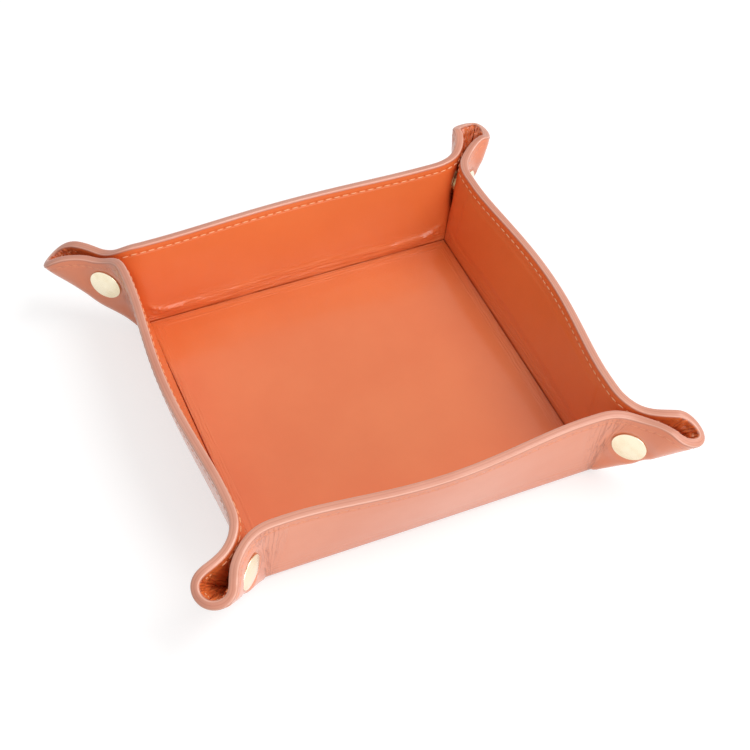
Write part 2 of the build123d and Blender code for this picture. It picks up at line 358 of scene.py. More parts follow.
# %% A folded piece of leather
def store(mesh, name, values, kind="FLOAT"):
    """Keep one value per point under a name."""
    attribute = mesh.attributes.new(name, kind, "POINT")
    field = "vector" if kind == "FLOAT_VECTOR" else "value"
    attribute.data.foreach_set(field, np.ascontiguousarray(values, np.float32).ravel())


def put_points(mesh, points):
    mesh.vertices.foreach_set("co", np.ascontiguousarray(points, np.float32).ravel())


def flat_grid(name, columns, rows):
    """A flat grid with a number of points each way, ready to be laid."""
    bpy.ops.object.select_all(action="DESELECT")
    bpy.ops.mesh.primitive_grid_add(x_subdivisions=columns - 1, y_subdivisions=rows - 1, size=1)
    grid = bpy.context.object
    grid.name = grid.data.name = name
    return grid


def edit_all():
    """Go into edit mode with everything selected."""
    bpy.ops.object.mode_set(mode="EDIT")
    bpy.ops.mesh.select_all(action="SELECT")


def folded_sheet(name, face, glue, keep, marks):
    """A closed leather from a net of its shown face and one of its glued face."""
    rows, columns = face.shape[:2]
    piece = flat_grid(name, columns, rows)
    mesh = piece.data
    put_points(mesh, face)
    store(mesh, "glue", glue, "FLOAT_VECTOR")
    for mark, values in marks.items():
        store(mesh, mark, values)
    outside = ~keep.ravel()
    if outside.any():
        bpy.context.tool_settings.mesh_select_mode = (False, False, True)
        mesh.polygons.foreach_set("select", outside)
        bpy.ops.object.mode_set(mode="EDIT")
        bpy.ops.mesh.delete(type="FACE")
        bpy.ops.object.mode_set(mode="OBJECT")
    count = len(mesh.vertices)
    solidify = piece.modifiers.new("thickness", "SOLIDIFY")
    solidify.thickness = leather
    solidify.offset = -1
    bpy.ops.object.modifier_apply(modifier=solidify.name)
    glued, placed = np.zeros((2, len(mesh.vertices) * 3), np.float32)
    mesh.attributes["glue"].data.foreach_get("vector", glued)
    mesh.vertices.foreach_get("co", placed)
    placed[count * 3:] = glued[count * 3:]
    put_points(mesh, placed)
    mesh.attributes.remove(mesh.attributes["glue"])
    mesh.update()
    edit_all()
    bpy.ops.mesh.remove_doubles(threshold=same_point)
    bpy.ops.object.mode_set(mode="OBJECT")
    bpy.ops.object.shade_smooth_by_angle(angle=math.radians(50))
    return piece


print("sheets are folded by one function")

# %% [markdown]
# ## Faces of the two leathers
# The outer leather lies outside the glue line and the lining inside. Round the foot of a
# wall the outer one bends in an even curve, and the lining is pressed into a sharp crease.
# Inside an ear the lining's halves may touch but not cross, so its points are held on
# their own side of the diagonal.

# %% Nets of the faces
slit_half = 0.05 * mm
pressed = 0.7
cap_radius = 6.25 * mm
works_radius = 4.9 * mm
seat_edge = 1.5 * mm
pared = 0.13
pared_width = 5 * mm
swoops = ((8.8 * mm, 4.6 * mm, 0.85 * mm, 0.9 * mm), (5.4 * mm, 1.9 * mm, 0.6 * mm, 0.65 * mm))
swoop_turn = 7 * mm
swoop_settle = 28 * mm
swoop_length = 34 * mm
foot_folds = {"right": 0.25, "back": 1.0, "left": 0.5, "front": 0.5}
swoop_drift = 0.4 * mm
pucker_tall = 0.62 * mm
pucker_place = 6.2
pucker_fade = 1.6
foot_gap = 7 * mm
rim_board_gap = 5 * mm
board_swell = {"right": 0.3 * mm, "back": 0.12 * mm, "left": 0.15 * mm, "front": 0.15 * mm}
board_step = {"right": 1.6 * mm, "back": 5 * mm, "left": 4 * mm, "front": 4 * mm}
groove = 0.6 * mm
ring_gaps = np.array([6.0, 2.6, 1.3, 0.4, 0.0, 0.4]) * mm
first_gap = 0.9 * mm
past_rise = 2 * mm


def thinned(net, radius):
    """The leather's thickness, pared towards the rim and squeezed within a radius of the snap."""
    points, end = net["points"][:-1], net["end"]
    thickness = leather * (1 - pared * (1 - ease(net["below"] / pared_width)))
    for one in (-1, 1):
        chosen = end == one
        along, _ = to_corner(points[:, chosen], one)
        away = np.hypot(along - snap_along, points[:, chosen, 2] - snap_z) - radius
        thickness[:, chosen] *= pressed + (1 - pressed) * ease(away / seat_edge)
    return thickness[..., None]


def keep_apart(net, points):
    """Hold the lining's points on their own side of the ear's middle."""
    for one in (-1, 1):
        chosen = net["end"] == one
        along, aside = to_corner(points[:, chosen], one)
        middle = one * swung(along, corner_of(net["side"], one))
        aside = np.maximum(aside, middle + slit_half)
        points[:, chosen] = from_corner(along, aside, points[:, chosen, 2], one)
    return points


def bend(start, turn, finish):
    """Rows of a curve from start to finish that leaves both towards the turn."""
    t = turn_places[:-1, None, None]
    return (1 - t) ** 2 * start + 2 * t * (1 - t) * turn + t * t * finish


def crease_line(net, half, inset):
    """Points on the base under each column, a distance inside the creases."""
    points = net["points"][0]
    limit = half - inset
    y = np.clip(points[:, 1], -limit, limit)
    share = ease((net["place"] - 1) / 3) * (net["end"] != 0)
    y = y + share * (net["end"] * limit - y)
    return np.stack([0 * y + limit, y], -1)


def at_height(line, z):
    return np.concatenate([line, np.full((len(line), 1), z)], -1)[None]


def over_board(net):
    """0 off the wall's board and 1 on it, with a soft step at its edges."""
    inward = base_half - foot_gap - abs(net["points"][:-1, :, 1])
    soft = board_step[net["side"]]
    starts = ((net["above"], foot_gap - 1 * mm), (net["below"], rim_board_gap), (inward, 0))
    steps = [ease((gap - start) / soft) for gap, start in starts]
    return (steps[0] * steps[1] * steps[2] * (net["end"] == 0))[..., None]


def faces_of(net):
    """Nets of the outer face, the glue line and the lining's face, from the base to the rim."""
    rise, normals = net["points"][:-1], net["normals"][:-1]
    ring = crease_line(net, crease_half, ring_inset)
    inside = crease_line(net, crease_half, turn_inset)
    crease = crease_line(net, crease_half, 0)
    lining_crease = crease_line(net, base_half, 0)
    swell = board_swell[net["side"]] * over_board(net)
    outer = rise + normals * (thinned(net, cap_radius) + 0.4 * swell)
    lining = keep_apart(net, rise - normals * (thinned(net, works_radius) + swell + folds_of(net)))
    glue_turn = bend(at_height(inside, glue_z), at_height(crease, glue_z), rise[:1])
    turned_share = turn_places[:-1, None, None]
    down = unit((1 - turned_share) * np.array([0, 0, -1]) + turned_share * normals[:1])
    outer_turn = glue_turn + down * leather
    start, corner = at_height(inside, floor_z), at_height(lining_crease, floor_z - groove)
    edge = at_height(lining_crease, floor_z)
    lip = edge + 0.25 * (start - edge)
    risen = 0.6 * corner + 0.4 * lining[:1]
    lining_turn = np.concatenate([start, (start + lip) / 2, lip, corner, risen])
    outer = np.concatenate([at_height(ring, 0), outer_turn, outer])
    glue = np.concatenate([at_height(ring, glue_z), glue_turn, rise])
    lining = np.concatenate([at_height(ring, floor_z), lining_turn, lining])
    return outer, glue, lining


def waves(value, lengths, seed):
    """An uneven row of ridges between -1 and 1, from a few sines of different lengths."""
    angle = value * 2 * math.pi
    rows = [np.sin(angle / wave + seed * (2 + shift)) for shift, wave in enumerate(lengths)]
    return sum(rows) / len(lengths)


def folds_of(net):
    """How far the lining stands out: in long swoops at the wall's foot, and puckers in the ear."""
    end, place, above, run = net["end"], net["place"], net["above"], net["along"][None]
    seed = sides.index(net["side"]) + 1
    from_end = np.maximum(crease_half - abs(net["points"][:-1, :, 1]), 0)
    in_wall = np.where(end == 0, 1, 1 - ease((place - 1) / 3))
    drift = swoop_drift * waves(run, (31 * mm, 17 * mm), seed)
    uneven = 1 + 0.3 * waves(run, (7 * mm, 11 * mm), seed)
    fade = (0.25 + 0.75 * np.exp(-((from_end / swoop_length) ** 2))) * uneven
    out = np.zeros(above.shape)
    for height, fall, width, tall in swoops:
        centre = height * np.exp(-from_end / swoop_turn)
        centre += fall * (1 - np.exp(-from_end / swoop_settle)) + drift
        ridge = np.exp(-(((above - centre) / width) ** 2))
        out += in_wall * foot_folds[net["side"]] * tall * fade * ridge
    pucker = ease((place - pucker_place) / pucker_fade) * (end != 0)
    rise = ease(above / np.maximum(above[-1:], 1e-6) * 1.6)
    ridges = waves(run + 0.25 * above, (2.9 * mm, 2.1 * mm, 4.3 * mm), seed)
    cross_ridges = waves(above + 0.4 * run, (3.4 * mm, 5.2 * mm), seed)
    out += pucker * rise * pucker_tall * (ridges + 0.6 * cross_ridges - 0.2)
    return out[..., None]


faces = {side: faces_of(nets[side]) for side in sides}
print("rows from base to rim:", faces["front"][0].shape[0])

# %% Distances that the leather's material reads
def marks_of(net, rows):
    """Distance below the rim, above the crease and along the rim, at every point."""
    along = net["along"] - net["along"][len(net["along"]) // 2]
    line = net["points"][-1] - net["points"][:-1]
    below = net["below"] * length(np.cross(unit(line), net["run"][-1][None]))
    above, extra = net["above"], rows - below.shape[0]
    below = np.concatenate([np.repeat(below[:1], extra, 0) + past_rise, below])
    above = np.concatenate([np.repeat(ring_gaps[:, None], above.shape[1], 1), above + first_gap])
    return {"rim_gap": below, "fold_gap": above, "run": np.repeat(along[None], rows, 0)}


marks = {side: marks_of(nets[side], faces[side][0].shape[0]) for side in sides}
print("the rim of a side is", round(2 * marks["front"]["run"].max() / mm), "mm long")

# %% [markdown]
# ## Finishes
# Smooth calf leather has fine pores, a slow change of tone where the dye took unevenly,
# and a soft shine. These are shared by both leathers, so they are node groups: one for the
# grain, and one for what follows the sheet, such as stitch holes and wrinkles. A small
# helper adds a node and wires its inputs.

# %% Helpers for nodes
def fill(node, **inputs):
    """Give a node's inputs values, or wire other nodes' outputs to them."""
    for name, value in inputs.items():
        socket = node.inputs[int(name[1:]) if name[0] == "_" else name.replace("_", " ")]
        if isinstance(value, bpy.types.NodeSocket):
            node.id_data.links.new(value, socket)
        else:
            socket.default_value = value


def add_node(tree, kind, settings=None, **inputs):
    """Add a node, set its properties and fill its inputs."""
    node = tree.nodes.new(kind)
    for name, value in (settings or {}).items():
        setattr(node, name, value)
    fill(node, **inputs)
    return node


def new_group(name, inputs, outputs):
    """An empty node group, with named numbers that go in and come out."""
    tree = bpy.data.node_groups.new(name, "ShaderNodeTree")
    for label, value in inputs.items():
        socket = tree.interface.new_socket(label, in_out="INPUT", socket_type="NodeSocketFloat")
        socket.default_value = value
    for label in outputs:
        tree.interface.new_socket(label, in_out="OUTPUT", socket_type="NodeSocketFloat")
    return tree, tree.nodes.new("NodeGroupInput").outputs, tree.nodes.new("NodeGroupOutput")


def maths(tree, operation, first, second=0.0, third=0.0, clamp=False):
    settings = {"operation": operation, "use_clamp": clamp}
    return add_node(tree, "ShaderNodeMath", settings, _0=first, _1=second, _2=third).outputs[0]


def times(tree, first, second):
    return maths(tree, "MULTIPLY", first, second)


def plus(tree, first, second):
    return maths(tree, "ADD", first, second)


def gap_to(tree, value, middle):
    """How far a value is from a middle one."""
    return maths(tree, "ABSOLUTE", maths(tree, "SUBTRACT", value, middle))


def stored(tree, name):
    """A value that the mesh keeps at every point."""
    return add_node(tree, "ShaderNodeAttribute", {"attribute_name": name}).outputs["Fac"]


def object_place(tree):
    return add_node(tree, "ShaderNodeTexCoord").outputs["Object"]


def stretched(tree, across, across_scale, up, up_scale):
    """A place on the sheet, with its own scale each way."""
    x, y = times(tree, across, across_scale), times(tree, up, up_scale)
    return add_node(tree, "ShaderNodeCombineXYZ", None, X=x, Y=y).outputs[0]


def noise(tree, vector, scale, detail, **more):
    node = add_node(tree, "ShaderNodeTexNoise", None, Vector=vector, Scale=scale, Detail=detail, **more)
    return node.outputs[0]


def ramp(tree, value, low, high, bottom=0.0, top=1.0):
    """A smooth step of a value, from bottom at low to top at high."""
    node = add_node(tree, "ShaderNodeMapRange", {"interpolation_type": "SMOOTHSTEP"}, Value=value)
    fill(node, From_Min=low, From_Max=high, To_Min=bottom, To_Max=top)
    return node.outputs[0]


def mix_colour(tree, share, first, second):
    settings = {"data_type": "RGBA", "blend_type": "MIX"}
    return add_node(tree, "ShaderNodeMix", settings, _0=share, _6=first, _7=second).outputs[2]


def bump(tree, height, strength, distance, **more):
    node = add_node(tree, "ShaderNodeBump", None, Height=height, Strength=strength, Distance=distance, **more)
    return node.outputs[0]


print("node helpers are ready")

# %% Grain shared by every leather surface
grain, grain_in, grain_out = new_group("leather_grain", {"Pore Size": 0.8 * mm}, ("Height", "Tone"))
coordinates = object_place(grain)
pore_scale = maths(grain, "DIVIDE", 1.0, grain_in["Pore Size"])
rounded = {"feature": "SMOOTH_F1"}
pores = add_node(grain, "ShaderNodeTexVoronoi", rounded, Vector=coordinates, Scale=pore_scale)
fine = noise(grain, coordinates, 2600.0, 3.0)
slow = noise(grain, coordinates, 22.0, 4.0, Roughness=0.6)
fill(grain_out, Height=plus(grain, pores.outputs["Distance"], times(grain, fine, 0.5)), Tone=slow)
print("group", grain.name)

# %% Marks that follow the sheet: stitch holes, the press of the thread, wrinkles, and painted shade in holes, cracks and the crease
stitch_pitch = 3.4 * mm
stitch_inset = 3.0 * mm
# Crease sets how strong the painted shade along the crease is.
mark_strengths = {"Wrinkle": 1.0, "Crack": 1.0, "Crease": 1.0}
sheet_marks, marks_in, marks_out = new_group("sheet_marks", mark_strengths, ("Height", "Shade"))
tree = sheet_marks
rim_gap, fold_gap = stored(tree, "rim_gap"), stored(tree, "fold_gap")
run, bunched = stored(tree, "run"), stored(tree, "bunched")

in_line = ramp(tree, gap_to(tree, rim_gap, stitch_inset), 0.2 * mm, 0.9 * mm, 1.0, 0.0)
phase = maths(tree, "FRACT", maths(tree, "DIVIDE", run, stitch_pitch))
hole = times(tree, ramp(tree, gap_to(tree, phase, 0.5), 0.36, 0.5), in_line)
press = plus(tree, times(tree, in_line, 0.35), times(tree, hole, 0.35))

fan_noise = noise(tree, stretched(tree, run, 520.0, fold_gap, 60.0), 1.0, 2.5)
fan_lines = times(tree, ramp(tree, fan_noise, 0.42, 0.62), bunched)
foot_noise = noise(tree, stretched(tree, run, 70.0, fold_gap, 900.0), 1.0, 3.0)
near_foot = ramp(tree, fold_gap, 1 * mm, 11 * mm, 1.0, 0.0)
foot_lines = times(tree, ramp(tree, foot_noise, 0.4, 0.65), near_foot)
both_lines = plus(tree, fan_lines, times(tree, foot_lines, 0.9))
wrinkles = times(tree, both_lines, marks_in["Wrinkle"])

thin_lines = times(tree, ramp(tree, gap_to(tree, fan_noise, 0.5), 0.005, 0.03, 1.0, 0.0), bunched)
cracks = times(tree, thin_lines, marks_in["Crack"])
# Painted shade along the crease: the colour darkens where the fold gap is small.
crease_shade_mask = ramp(tree, fold_gap, 0.2 * mm, 1.1 * mm, 1.0, 0.0)
crease_shade = times(tree, crease_shade_mask, marks_in["Crease"])

lifted = maths(tree, "SUBTRACT", times(tree, wrinkles, 0.7), cracks)
# Painted shade: stitch holes and cracks are darkened, and wrinkle ridges take some of that painted shade
# away.
dark = plus(tree, times(tree, hole, 0.14), times(tree, cracks, 0.4))
dark = plus(tree, dark, crease_shade)
shade = maths(tree, "ADD", dark, times(tree, wrinkles, -0.12), clamp=True)
fill(marks_out, Height=maths(tree, "SUBTRACT", lifted, press), Shade=shade)
print("group", sheet_marks.name)

# %% The orange leather
def new_material(name):
    """A material with its shader and output, ready for nodes."""
    material = bpy.data.materials.new(name)
    material.use_nodes = True
    tree = material.node_tree
    return material, tree, tree.nodes["Principled BSDF"]


def put_group(tree, group, **inputs):
    return add_node(tree, "ShaderNodeGroup", {"node_tree": group}, **inputs)


def leather_material(name, colour, deep, wrinkle, crack, crease):
    """Leather of one dye, with painted shade in its stitch holes, cracks and crease, which wrinkle ridges
    lessen.
    """
    material, tree, shader = new_material(name)
    skin = put_group(tree, grain, Pore_Size=0.7 * mm)
    sheet = put_group(tree, sheet_marks, Wrinkle=wrinkle, Crack=crack, Crease=crease)
    dyed = mix_colour(tree, ramp(tree, skin.outputs["Tone"], 0.25, 0.78), deep, colour)
    # The colour of the painted shade in holes, cracks and the crease.
    dark = (deep[0] * 0.56, deep[1] * 0.27, deep[2] * 0.26, 1)
    pores = bump(tree, skin.outputs["Height"], 0.22, 0.08 * mm)
    fill(
        shader, Base_Color=mix_colour(tree, sheet.outputs["Shade"], dyed, dark),
        Roughness=ramp(tree, skin.outputs["Tone"], 0.3, 0.7, 0.42, 0.36),
        Normal=bump(tree, sheet.outputs["Height"], 0.9, 0.3 * mm, Normal=pores),
        Specular_IOR_Level=0.5, Coat_Weight=0.7, Coat_Roughness=0.17,
    )
    return material


outer_colours = (0.82, 0.265, 0.130, 1), (0.77, 0.225, 0.100, 1)
lining_colours = (0.79, 0.190, 0.048, 1), (0.745, 0.162, 0.037, 1)
leather_finishes = {
    "outer": leather_material("outer_leather", *outer_colours, wrinkle=0.8, crack=0.7, crease=0.0),
    "lining": leather_material("lining_leather", *lining_colours, wrinkle=1.0, crack=0.8, crease=0.65),
}
print("leathers:", [finish.name for finish in leather_finishes.values()])

# %% Painted edge, thread and metal
edge_finish, tree, shader = new_material("painted_edge")
skin = put_group(tree, grain, Pore_Size=1.6 * mm)
tone = ramp(tree, skin.outputs["Tone"], 0.35, 0.65)
paint = mix_colour(tree, tone, (0.62, 0.25, 0.165, 1), (0.68, 0.30, 0.205, 1))
across = maths(tree, "ABSOLUTE", stored(tree, "across"))
# Painted shade in the groove over the glue line.
groove_shade = times(tree, ramp(tree, across, 0.03, 0.16, 1.0, 0.0), 0.45)
paint = mix_colour(tree, groove_shade, paint, (0.50, 0.17, 0.10, 1))
# Painted highlights along both rounded borders of the bead.
border_highlight = ramp(tree, gap_to(tree, across, 0.78), 0.04, 0.14, 0.55, 0.0)
paint = mix_colour(tree, border_highlight, paint, (0.84, 0.50, 0.38, 1))
paint = mix_colour(tree, ramp(tree, across, 0.93, 1.0, 0.0, 0.7), paint, (0.42, 0.12, 0.07, 1))
fill(
    shader, Base_Color=paint,
    Roughness=ramp(tree, skin.outputs["Tone"], 0.3, 0.7, 0.42, 0.32),
    Normal=bump(tree, skin.outputs["Height"], 0.12, 0.12 * mm),
    Coat_Weight=0.2, Coat_Roughness=0.2,
)


def thread_material(name, light, dark):
    material, tree, shader = new_material(name)
    plies = noise(tree, object_place(tree), 3200.0, 2.0)
    colour = mix_colour(tree, plies, dark, light)
    fill(shader, Base_Color=colour, Normal=bump(tree, plies, 0.4, 0.1 * mm), Roughness=0.7, Sheen_Weight=0.2)
    return material


threads = {
    "lining": thread_material("peach_thread", (0.92, 0.53, 0.29, 1), (0.83, 0.39, 0.19, 1)),
    "outer": thread_material("salmon_thread", (0.85, 0.36, 0.20, 1), (0.78, 0.28, 0.14, 1)),
}
print("finishes:", edge_finish.name, [finish.name for finish in threads.values()])

# %% Metals share one group for fine scratches and handling marks
wear, wear_in, wear_out = new_group("handling_wear", {"Scale": 1.0}, ("Wear", "Height"))
place = object_place(wear)
drawn_out = add_node(wear, "ShaderNodeMapping", None, Vector=place, Scale=(1.0, 1.0, 9.0)).outputs[0]
cloud = noise(wear, place, times(wear, wear_in["Scale"], 160.0), 3.0)
hair = noise(wear, drawn_out, times(wear, wear_in["Scale"], 900.0), 4.0)
fill(wear_out, Wear=cloud, Height=hair)


def metal_material(name, colour, dull, smooth, rough):
    material, tree, shader = new_material(name)
    worn = put_group(tree, wear)
    share = ramp(tree, worn.outputs["Wear"], 0.4, 0.7)
    fill(
        shader, Base_Color=mix_colour(tree, share, colour, dull),
        Roughness=ramp(tree, worn.outputs["Wear"], 0.35, 0.75, smooth, rough),
        Normal=bump(tree, worn.outputs["Height"], 0.05, 0.05 * mm), Metallic=1.0,
    )
    return material


cap_finish = metal_material("pale_gold_cap", (0.90, 0.82, 0.62, 1), (0.84, 0.74, 0.52, 1), 0.16, 0.26)
works_finish = metal_material("brass_works", (0.78, 0.60, 0.30, 1), (0.62, 0.46, 0.22, 1), 0.24, 0.4)
spring_finish = metal_material("steel_spring", (0.62, 0.62, 0.62, 1), (0.45, 0.45, 0.46, 1), 0.25, 0.4)
board_finish, tree, shader = new_material("fibre_board")
fibre = noise(tree, object_place(tree), 900.0, 6.0, Roughness=0.7)
pulp = mix_colour(tree, fibre, (0.20, 0.14, 0.09, 1), (0.38, 0.29, 0.20, 1))
fill(shader, Base_Color=pulp, Normal=bump(tree, fibre, 0.3, 0.2 * mm), Roughness=0.85)
print("metals and board are ready")

# %% [markdown]
# ## Finishes for the solids that stay
# The snaps and boards keep their solids, and only get a finish.

# %% Dress the solids
solid_finishes = {
    "_board": board_finish, "_cap": cap_finish, "_spring": spring_finish,
    "_socket": works_finish, "_stud": works_finish,
}
dressed = 0
for node in frame["nodes"]:
    for ending, finish in solid_finishes.items():
        if node.endswith(ending):
            slots = frame["nodes"][node].data.materials
            slots.clear()
            slots.append(finish)
            dressed += 1
print("solids dressed:", dressed)

# %% [markdown]
# ## Laying the leathers on the net
# The tray has 21 bodies that fold against each other, so each leather is divided in flat
# places between the folds. A wall's piece takes the crease in and bends between the base
# and the wall; an ear's piece bends at the hollow curve, and a tip's piece at its fold.

# %% Where each piece bends
turn_half = 2.6 * mm
hollow_half = 6.5 * mm
fold_half = 5.0 * mm
hollow_turn = math.radians(22.5)
crease_last_place = 4
tip_place = 6.0
joints = {joint["name"]: joint for joint in frame["joints"]}
print("first joint:", joints["front_wall_fold"])


def turned(points, side):
    """Points of the right side turned to another side."""
    angle = math.radians(90) * sides.index(side)
    cos, sin = math.cos(angle), math.sin(angle)
    return points @ np.array([[cos, -sin, 0], [sin, cos, 0], [0, 0, 1]]).T


def bend_ends(side, end, joint, half_width, lean_in):
    """Two points across a fold, on a line square to its axis and along the leather."""
    axis = unit(np.array(joints[joint]["axis"], float))
    axis *= np.sign(axis[2])
    outward = turned(np.array([math.cos(lean_in), -end * math.sin(lean_in), 0]), side)
    across = unit(np.cross(axis, outward))
    across *= np.sign(across @ turned(np.array([0.0, end, 0.0]), side))
    corner = turned(np.array([crease_half, end * crease_half, glue_z]), side)
    middle = corner + axis * wall_slant
    return middle - across * half_width, middle + across * half_width


def ear_name(side, end):
    """The name of the half ear at a side's end, after the wall that it meets."""
    other = sides[(sides.index(side) + (1 if end > 0 else -1)) % 4]
    return f"{side}_wall_{other}_ear"


def ear_fold(side, part, end):
    """A half ear's name, and where its own piece or its tip's piece bends."""
    ear = ear_name(side, end)
    if part == "tip":
        return ear, bend_ends(side, end, f"{ear}_tip_fold", fold_half, 0.0)
    return ear, bend_ends(side, end, f"{ear}_fold", hollow_half, hollow_turn)


print("ears:", [ear_name(side, end) for side in sides for end in (-1, 1)])

# %% [markdown]
# A piece is named after its body. The wall's piece keeps the crease in it up to the ear's
# hollow curve, because the crease bends with the wall.

# %% Fold and place the leathers
layers = ("outer", "lining")


def bunching(net, layer):
    """How much the leather bunches up: by the snap outside, and in the loop inside."""
    if layer == "outer":
        bunched = np.exp(-(((net["place"] - 3.0) / 1.4) ** 2))
    else:
        bunched = ease((net["place"] - 5.5) / 2)
    return bunched * (net["end"] != 0)


def lay(side, layer, part, end):
    """One leather of a wall, an ear or a tip."""
    net = nets[side]
    outer, glue, lining = faces[side]
    face = outer if layer == "outer" else lining
    place = (net["place"][:-1] + net["place"][1:]) / 2
    first, second = net["end"][:-1], net["end"][1:]
    rows = np.arange(face.shape[0] - 1)[:, None]
    if part == "wall":
        in_wall = (first == 0) | (second == 0)
        keep = in_wall[None] | ((rows < turn_rows) & (place < crease_last_place)[None])
        bodies, name = ("base", f"{side}_wall"), f"{side}_wall_{layer}"
        lean = math.radians(end_lean)
        ahead = np.array([math.sin(lean), 0, math.cos(lean)]) * turn_half
        start = turned(np.array([crease_half - turn_half, 0, glue_z]), side)
        finish = turned(np.array([crease_half, 0, glue_z]) + ahead, side)
    else:
        in_part = (first == second) & (first == end) & ((place > tip_place) == (part == "tip"))
        keep = in_part[None] & ((rows >= turn_rows) | ((rows > 0) & (place > crease_last_place)[None]))
        ear, (start, finish) = ear_fold(side, part, end)
        bodies = (ear, f"{ear}_tip") if part == "tip" else (f"{side}_wall", ear)
        name = f"{bodies[1]}_{layer}"
    sheet = dict(marks[side], bunched=np.repeat(bunching(net, layer)[None], face.shape[0], 0))
    order = slice(None) if layer == "outer" else slice(None, None, -1)
    piece = folded_sheet(
        name + "_leather",
        turned(face, side)[:, order],
        turned(glue, side)[:, order],
        np.broadcast_to(keep, (len(rows), len(place)))[:, order],
        {mark: values[:, order] for mark, values in sheet.items()},
    )
    piece.data.materials.append(leather_finishes[layer])
    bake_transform(piece)
    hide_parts(name if part != "tip" else f"{ear}_tip")
    return piece


leathers = []
for side in sides:
    for layer in layers:
        leathers.append(lay(side, layer, "wall", 0))
        leathers += [lay(side, layer, part, end) for end in (-1, 1) for part in ("ear", "tip")]
face_count = sum(len(piece.data.polygons) for piece in leathers)
print("leather pieces:", len(leathers), "with", face_count, "faces")

# %% [markdown]
# ## Boards in the walls
# The wall's board bows outward with its wall, so a bowed one stands for the flat solid. It
# lies on the glue line, in the pocket between the leathers, and is never seen.

# %% Bowed boards
board_half = 0.5 * mm
board_rows = slice(3, rise_rows - 7)


def wall_board(side):
    net = nets[side]
    columns = np.flatnonzero(net["end"] == 0)[2:-2]
    middle, normals = net["points"][board_rows][:, columns], net["normals"][board_rows][:, columns]
    board = folded_sheet(
        f"{side}_bowed_board",
        turned(middle + normals * board_half, side),
        turned(middle - normals * board_half, side),
        np.ones(middle[1:, 1:].shape[:2], bool), {},
    )
    board.data.materials.append(board_finish)
    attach(board, f"{side}_wall")
    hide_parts(f"{side}_wall_board")
    return board


boards = [wall_board(side) for side in sides]
print("boards:", [board.name for board in boards])

# %% [markdown]
# ## The base
# Between the creases the two leathers lie flat round a board. The lining swells a little
# over the board and sinks where the board ends, three millimetres short of each crease.

# %% Base leathers
base_cells = 60
base_swell = 0.25 * mm
board_end = 5.5 * mm
base_line = np.linspace(-1, 1, base_cells + 1) * (crease_half - ring_inset)
base_x, base_y = np.meshgrid(base_line, base_line)
from_edge = crease_half - ring_inset - np.maximum(abs(base_x), abs(base_y))
swell = base_swell * ease(from_edge / board_end)
for layer, height in (("outer", 0 * swell), ("lining", floor_z + swell)):
    face = np.stack([base_x, base_y, height], -1)
    glue = np.stack([base_x, base_y, 0 * base_x + glue_z], -1)
    order = slice(None, None, -1) if layer == "outer" else slice(None)
    flat = np.full(base_x.shape, 30 * mm)
    piece = folded_sheet(
        f"base_{layer}_leather", face[:, order], glue[:, order],
        np.ones((base_cells, base_cells), bool),
        {"rim_gap": flat, "fold_gap": 1 + flat, "run": base_x[:, order], "bunched": 0 * flat},
    )
    piece.data.materials.append(leather_finishes[layer])
    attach(piece, "base")
    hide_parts(f"base_{layer}")
print("base leathers swell", round(swell.max() / mm, 2), "mm")

# %% [markdown]
# ## The painted edge
# Both cut edges are sanded round together and painted in several coats, which leaves a
# smooth bead with a faint groove over the glue line. The bead is a closed tube: one
# half-round section with a flat underside, set square to the rim at every column of the
# net, from a grid whose first and last rows are merged and whose ends are filled.

# %% Section of the bead
bead_half = leather * (1 - pared) + 0.07 * mm
bead_depth = 1.15 * mm
bead_groove = 0.10 * mm
bead_groove_width = 0.28 * mm
bead_fullness = 0.75
bead_foot = 0.955
bead_points = 15
swing = np.linspace(0, math.pi, bead_points)
bead_out = bead_half * np.sign(np.cos(swing)) * abs(np.cos(swing)) ** bead_fullness
bead_up = -bead_depth + bead_depth * np.sin(swing) ** bead_fullness
bead_up -= bead_groove * np.exp(-((bead_out / bead_groove_width) ** 2))
bead_out[[0, -1]] *= bead_foot
bead_out = np.append(bead_out, bead_out[0])
bead_up = np.append(bead_up, bead_up[0])
print("bead section is", round(2 * bead_half / mm, 2), "mm wide")


# %% Beads along the rim
def rim_lines(side):
    """The rim's points, and its outward and upward directions, for one side."""
    net = nets[side]
    rim, run = net["points"][-1], net["run"][-1]
    outward = square_to(run, net["normals"][-2])
    return rim, outward, unit(np.cross(outward, run))


def chosen_columns(side, part, end):
    """The columns of a wall, an ear or a tip, the shared ones in both."""
    net = nets[side]
    if part == "wall":
        return np.flatnonzero((net["end"] == 0) | (net["place"] == 1))
    near = net["place"] >= tip_place if part == "tip" else net["place"] <= tip_place
    return np.flatnonzero((net["end"] == end) & near)


def part_name(part, end):
    return f"{part}_{'start' if end < 0 else 'end'}" if end else part


def hang(piece, side, part, end):
    """Attach a wall's piece to its wall; a piece of an ear or a tip is only baked in place."""
    if part == "wall":
        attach(piece, f"{side}_wall")
        return
    ear, (start, finish) = ear_fold(side, part, end)
    if part == "ear":
        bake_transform(piece)
    else:
        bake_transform(piece)


def bead(side, part, end):
    rim, outward, upward = rim_lines(side)
    chosen = chosen_columns(side, part, end)
    rings = rim[None] + outward[None] * bead_out[:, None, None]
    rings = turned((rings + upward[None] * bead_up[:, None, None])[:, chosen], side)
    strip = flat_grid(f"{side}_{part_name(part, end)}_bead", len(chosen), len(bead_out))
    put_points(strip.data, rings)
    store(strip.data, "across", np.repeat(bead_out / bead_half, len(chosen)))
    edit_all()
    bpy.ops.mesh.remove_doubles(threshold=0.01 * mm)
    bpy.ops.mesh.fill_holes(sides=0)
    bpy.ops.mesh.normals_make_consistent(inside=False)
    bpy.ops.object.mode_set(mode="OBJECT")
    bpy.ops.object.shade_smooth_by_angle(angle=math.radians(60))
    strip.data.materials.append(edge_finish)
    hang(strip, side, part, end)
    return strip


